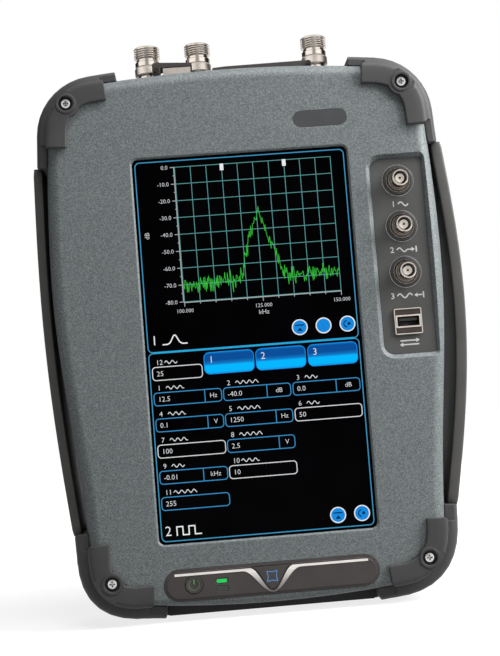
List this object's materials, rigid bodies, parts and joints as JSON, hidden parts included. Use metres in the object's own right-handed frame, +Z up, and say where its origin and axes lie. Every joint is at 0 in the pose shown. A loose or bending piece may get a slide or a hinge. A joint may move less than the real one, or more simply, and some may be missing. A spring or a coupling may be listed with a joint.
{
  "type": "radio communication tester",
  "caption": "Portable radio tester in portrait format: tall touch screen in a bulged shell with rubber corner bumpers, side straps, top radio jacks and side audio jacks.",
  "frame": {"origin": "middle of the flat foot that the tester stands on", "axes": "+X to the right as seen from the front, the front faces -Y, +Z up"},
  "size_m": [0.2553, 0.0797, 0.3468],
  "materials": {
    "paint": "flecked semi-matte blue-grey",
    "seal": "matte",
    "screen_glass": "gloss black glass",
    "display": "satin",
    "sheet_steel": "satin",
    "circuit_board": "solder mask",
    "shield": "satin",
    "black_plastic": "matte",
    "key_plastic": "semi-gloss",
    "bright_trim": "bright",
    "lamp": "translucent",
    "panel": "matte",
    "nickel": "nickel plate",
    "insulator": "satin",
    "contact": "gold flash",
    "badge": "gloss",
    "rubber": "matte",
    "strap_rubber": "matte",
    "stand_plastic": "matte"
  },
  "bodies": {
    "body": {"front_housing": "paint", "rear_housing": "paint", "housing_gasket": "seal", "screen_gasket": "seal", "touch_glass": "screen_glass", "lcd_module": "display", "chassis_plate": "sheet_steel", "main_board": "circuit_board", "shield_can": "shield", "rf_module": "shield", "jack_board": "circuit_board", "io_board": "circuit_board", "key_board": "circuit_board", "battery_pack": "black_plastic", "battery_contacts": "black_plastic", "battery_door": "paint", "back_screws": "sheet_steel", "key_bar": "key_plastic", "key_trim": "bright_trim", "indicator_lenses": "lamp", "io_panel": "panel", "meter_jack": "nickel", "audio_in_jack": "nickel", "audio_out_jack": "nickel", "bayonet_insulators": "insulator", "bayonet_contacts": "contact", "bayonet_washers": "black_plastic", "bayonet_nuts": "nickel", "usb_frame": "sheet_steel", "usb_shell": "nickel", "usb_tongue": "black_plastic", "badge_plate": "badge", "rf_jack_left": "nickel", "rf_jack_middle": "nickel", "rf_jack_right": "nickel", "rf_jack_collars": "nickel", "rf_jack_insulators": "insulator", "rf_jack_contacts": "contact", "data_jack": "nickel", "data_jack_insert": "black_plastic", "cover_pins": "sheet_steel", "cover_posts": "black_plastic", "power_socket": "black_plastic", "service_socket": "black_plastic", "bumper_top_left": "rubber", "bumper_top_right": "rubber", "bumper_bottom_left": "rubber", "bumper_bottom_right": "rubber", "bumper_screws": "sheet_steel", "strap_left": "strap_rubber", "strap_right": "strap_rubber", "strap_links": "sheet_steel", "bottom_rail": "rubber", "stand_pins": "sheet_steel"},
    "power_key": {"power_key": "key_plastic"},
    "home_key": {"home_key": "key_plastic"},
    "data_cover": {"data_jack_cover": "rubber"},
    "port_cover": {"port_cover": "rubber"},
    "stand": {"tilt_stand": "stand_plastic"}
  },
  "joints": [
    {"name": "power_key_press", "type": "slide", "parent": "body", "child": "power_key", "axis": [0, 1, 0], "range_m": [0, 0.0008], "stiffness_N_per_m": 600},
    {"name": "home_key_press", "type": "slide", "parent": "body", "child": "home_key", "axis": [0, 1, 0], "range_m": [0, 0.0008], "stiffness_N_per_m": 600},
    {"name": "data_cover_swing", "type": "hinge", "parent": "body", "child": "data_cover", "pos_m": [-0.0453, -0.0158, 0.32614], "axis": [0, -1, 0], "range_deg": [0, 110]},
    {"name": "port_cover_swing", "type": "hinge", "parent": "body", "child": "port_cover", "pos_m": [0.0466, -0.0158, 0.32457], "axis": [0, 1, 0], "range_deg": [0, 100]},
    {"name": "stand_swing", "type": "hinge", "parent": "body", "child": "stand", "pos_m": [0, 0.0346, 0.2935], "axis": [1, 0, 0], "range_deg": [0, 60]}
  ]
}
